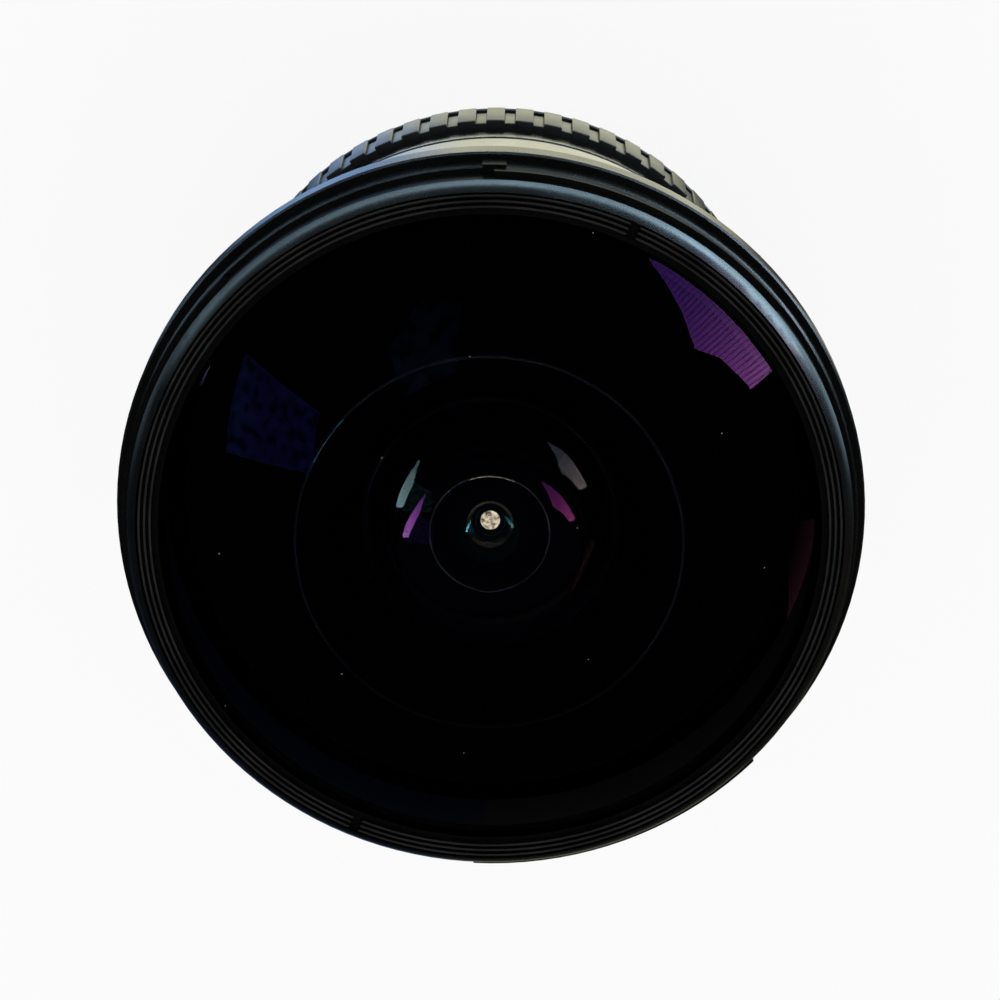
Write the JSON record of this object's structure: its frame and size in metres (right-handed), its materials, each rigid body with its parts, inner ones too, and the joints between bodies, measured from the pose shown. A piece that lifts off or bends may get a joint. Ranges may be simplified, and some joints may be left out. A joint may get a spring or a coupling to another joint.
{
  "type": "fisheye lens",
  "caption": "Circular fisheye camera lens with a domed front glass, flared front barrel, rubber focus grip, aperture ring and a three-lug bayonet mount.",
  "frame": {"origin": "centre of the mount's seat plane, on the optical axis", "axes": "+Z along the optical axis towards the front glass; index marks face -Y"},
  "size_m": [0.073, 0.073, 0.0908],
  "materials": {
    "black_metal": "satin black anodised",
    "black_cell": "matt black anodised",
    "bright_mount": "satin chrome",
    "steel": "machined",
    "brass": "turned",
    "rubber": "matt moulded",
    "baffle_plastic": "matt moulded",
    "blade_steel": "blackened",
    "front_glass": "polished, violet coating",
    "inner_glass": "polished, green coating"
  },
  "bodies": {
    "base": {"mount_flange": "bright_mount", "mount_screws": "steel", "rear_baffle": "baffle_plastic", "rear_barrel": "black_metal", "index_ring": "black_metal", "index_screws": "steel", "collar": "black_metal", "detent_ball": "steel", "detent_spring": "steel"},
    "aperture": {"aperture_ring": "black_metal", "aperture_lever": "steel", "lever_screw": "steel"},
    "focus": {"focus_ring": "black_metal", "focus_grip": "rubber", "cam_sleeve": "brass", "cam_screws": "steel"},
    "block": {"carrier_tube": "black_metal", "cam_rollers": "brass", "roller_screws": "steel", "front_barrel": "black_metal", "barrel_screws": "steel", "front_seal": "rubber", "front_element": "front_glass", "front_retaining_ring": "black_metal", "front_cell": "black_cell", "cell_screws": "steel", "second_element": "inner_glass", "second_retaining_ring": "black_cell", "third_element": "inner_glass", "third_retaining_ring": "black_cell", "fourth_element": "inner_glass", "fifth_element": "inner_glass", "fifth_retaining_ring": "black_cell", "iris_housing": "black_cell", "iris_screws": "steel", "iris_cover": "black_cell", "rear_cell": "black_cell", "sixth_element": "inner_glass", "sixth_retaining_ring": "black_cell", "seventh_element": "inner_glass", "eighth_element": "inner_glass", "eighth_retaining_ring": "black_cell"},
    "iris_ring": {"iris_cam_ring": "brass"},
    "blade_1": {"iris_blade_1": "blade_steel"},
    "blade_2": {"iris_blade_2": "blade_steel"},
    "blade_3": {"iris_blade_3": "blade_steel"},
    "blade_4": {"iris_blade_4": "blade_steel"},
    "blade_5": {"iris_blade_5": "blade_steel"},
    "blade_6": {"iris_blade_6": "blade_steel"}
  },
  "joints": [
    {"name": "focus_turn", "type": "hinge", "parent": "base", "child": "focus", "pos_m": [0, 0, 0], "axis": [0, 0, 1], "range_deg": [0, 100.1]},
    {"name": "focus_slide", "type": "slide", "parent": "base", "child": "block", "axis": [0, 0, 1], "range_m": [0, 0.0005]},
    {"name": "aperture_turn", "type": "hinge", "parent": "base", "child": "aperture", "pos_m": [0, 0, 0], "axis": [0, 0, 1], "range_deg": [0, 60]},
    {"name": "iris_turn", "type": "hinge", "parent": "block", "child": "iris_ring", "pos_m": [0, 0, 0.042], "axis": [0, 0, 1], "range_deg": [0, 60.06]},
    {"name": "blade_1_turn", "type": "hinge", "parent": "block", "child": "blade_1", "pos_m": [0.009, 0, 0.0394], "axis": [0, 0, 1], "range_deg": [0, 22.02]},
    {"name": "blade_2_turn", "type": "hinge", "parent": "block", "child": "blade_2", "pos_m": [0.0045, 0.00779, 0.0394], "axis": [0, 0, 1], "range_deg": [0, 22.02]},
    {"name": "blade_3_turn", "type": "hinge", "parent": "block", "child": "blade_3", "pos_m": [-0.0045, 0.00779, 0.0394], "axis": [0, 0, 1], "range_deg": [0, 22.02]},
    {"name": "blade_4_turn", "type": "hinge", "parent": "block", "child": "blade_4", "pos_m": [-0.009, 0, 0.0394], "axis": [0, 0, 1], "range_deg": [0, 22.02]},
    {"name": "blade_5_turn", "type": "hinge", "parent": "block", "child": "blade_5", "pos_m": [-0.0045, -0.00779, 0.0394], "axis": [0, 0, 1], "range_deg": [0, 22.02]},
    {"name": "blade_6_turn", "type": "hinge", "parent": "block", "child": "blade_6", "pos_m": [0.0045, -0.00779, 0.0394], "axis": [0, 0, 1], "range_deg": [0, 22.02]}
  ],
  "couplings": [
    {"joint": "focus_turn", "follows": "focus_slide", "rad_per_m": 3490.7},
    {"joint": "iris_turn", "follows": "aperture_turn", "ratio": 1},
    {"joint": "blade_1_turn", "follows": "aperture_turn", "ratio": 0.36667},
    {"joint": "blade_2_turn", "follows": "aperture_turn", "ratio": 0.36667},
    {"joint": "blade_3_turn", "follows": "aperture_turn", "ratio": 0.36667},
    {"joint": "blade_4_turn", "follows": "aperture_turn", "ratio": 0.36667},
    {"joint": "blade_5_turn", "follows": "aperture_turn", "ratio": 0.36667},
    {"joint": "blade_6_turn", "follows": "aperture_turn", "ratio": 0.36667}
  ]
}
